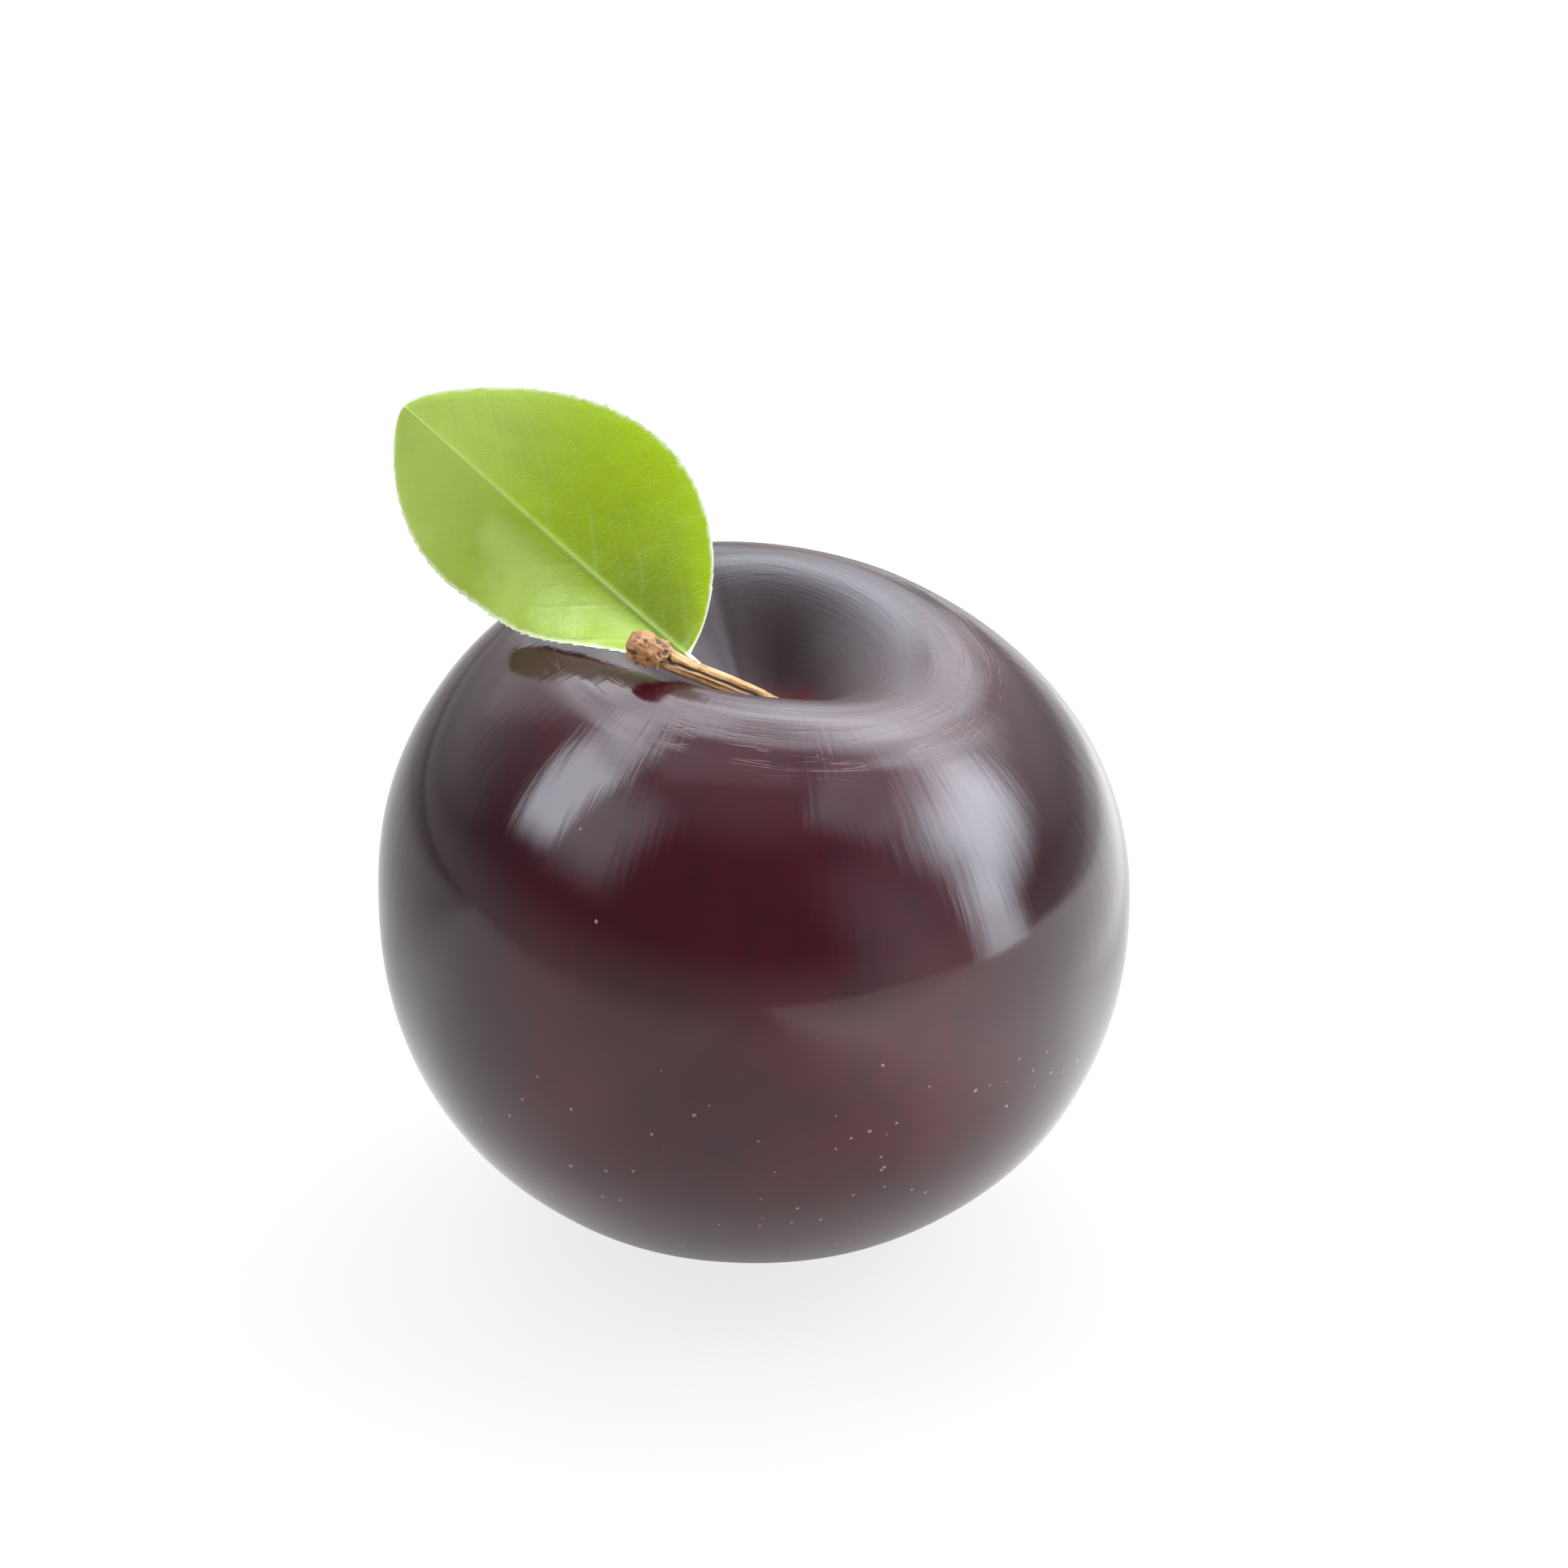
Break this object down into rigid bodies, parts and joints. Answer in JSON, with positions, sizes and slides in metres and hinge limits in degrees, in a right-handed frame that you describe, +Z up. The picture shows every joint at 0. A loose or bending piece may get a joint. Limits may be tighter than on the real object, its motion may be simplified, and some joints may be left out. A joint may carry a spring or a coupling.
{
  "type": "plum",
  "caption": "Whole dark purple plum as picked, with its woody stalk leaning out of the stalk cavity and a green leaf on the stalk; it rests on a small flat spot.",
  "frame": {"origin": "on the small flat spot under the fruit that it rests on, straight below the middle of the fruit", "axes": "+Z up from the flat spot to the stalk end; -Y towards the side that the stalk leans over; the leaf points to -X, up and back"},
  "size_m": [0.0638, 0.0638, 0.0724],
  "materials": {
    "plum_skin": "gloss",
    "stalk_bark": "matte",
    "leaf_green": "satin"
  },
  "bodies": {
    "root": {"fruit": "plum_skin", "stalk": "stalk_bark", "leaf": "leaf_green"}
  },
  "joints": []
}
